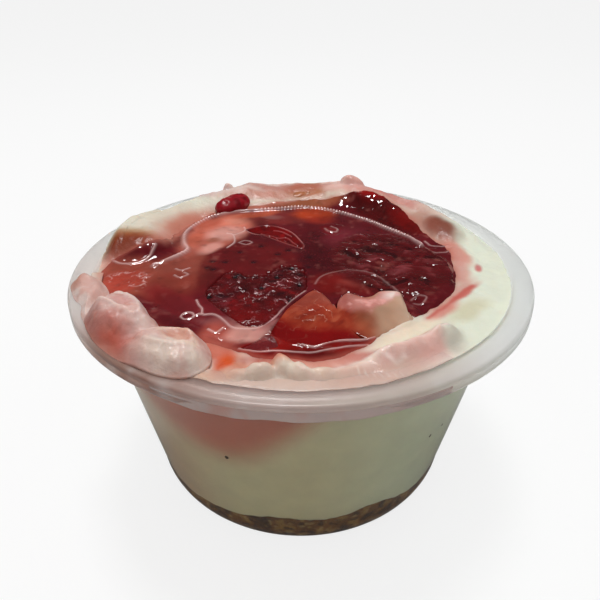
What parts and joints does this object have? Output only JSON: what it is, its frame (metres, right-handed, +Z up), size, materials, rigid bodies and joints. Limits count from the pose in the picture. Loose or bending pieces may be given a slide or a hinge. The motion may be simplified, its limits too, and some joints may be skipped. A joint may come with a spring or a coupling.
{
  "type": "cheesecake cup",
  "caption": "Strawberry cheesecake dessert in a thin clear flanged portion cup: crumb base, cheesecake, fruit sauce pressed flat by the lid, cream at the rim",
  "frame": {"origin": "on the cup's axis, at the surface that the cup stands on", "axes": "+Z up along the cup's axis; -Y towards the side with the two rolls of cream and the cut wedge of fruit; +X to the right of that view"},
  "size_m": [0.074, 0.074, 0.043],
  "materials": {
    "clear_cup": "smooth, clear",
    "crumbs": "rough, dry crumbs",
    "cheesecake": "smooth, soft",
    "sauce": "wet, glossy",
    "fruit": "wet fruit flesh",
    "cream": "soft, moist"
  },
  "bodies": {
    "root": {"biscuit_base": "crumbs", "cheesecake": "cheesecake", "cream_bank_left": "cream", "cream_bank_right": "cream", "cream_block": "cream", "cream_fold": "cream", "cream_front": "cream", "cream_knob": "cream", "cream_ridge_back": "cream", "cream_rim_lump": "cream", "cream_roll_front": "cream", "cream_roll_left": "cream", "cup": "clear_cup", "strawberry_chip_back": "fruit", "strawberry_chip_front": "fruit", "strawberry_chip_rim": "fruit", "strawberry_covered": "fruit", "strawberry_left": "fruit", "strawberry_right": "fruit", "strawberry_sauce": "sauce", "strawberry_slice": "fruit", "strawberry_wedge": "fruit"}
  },
  "joints": []
}
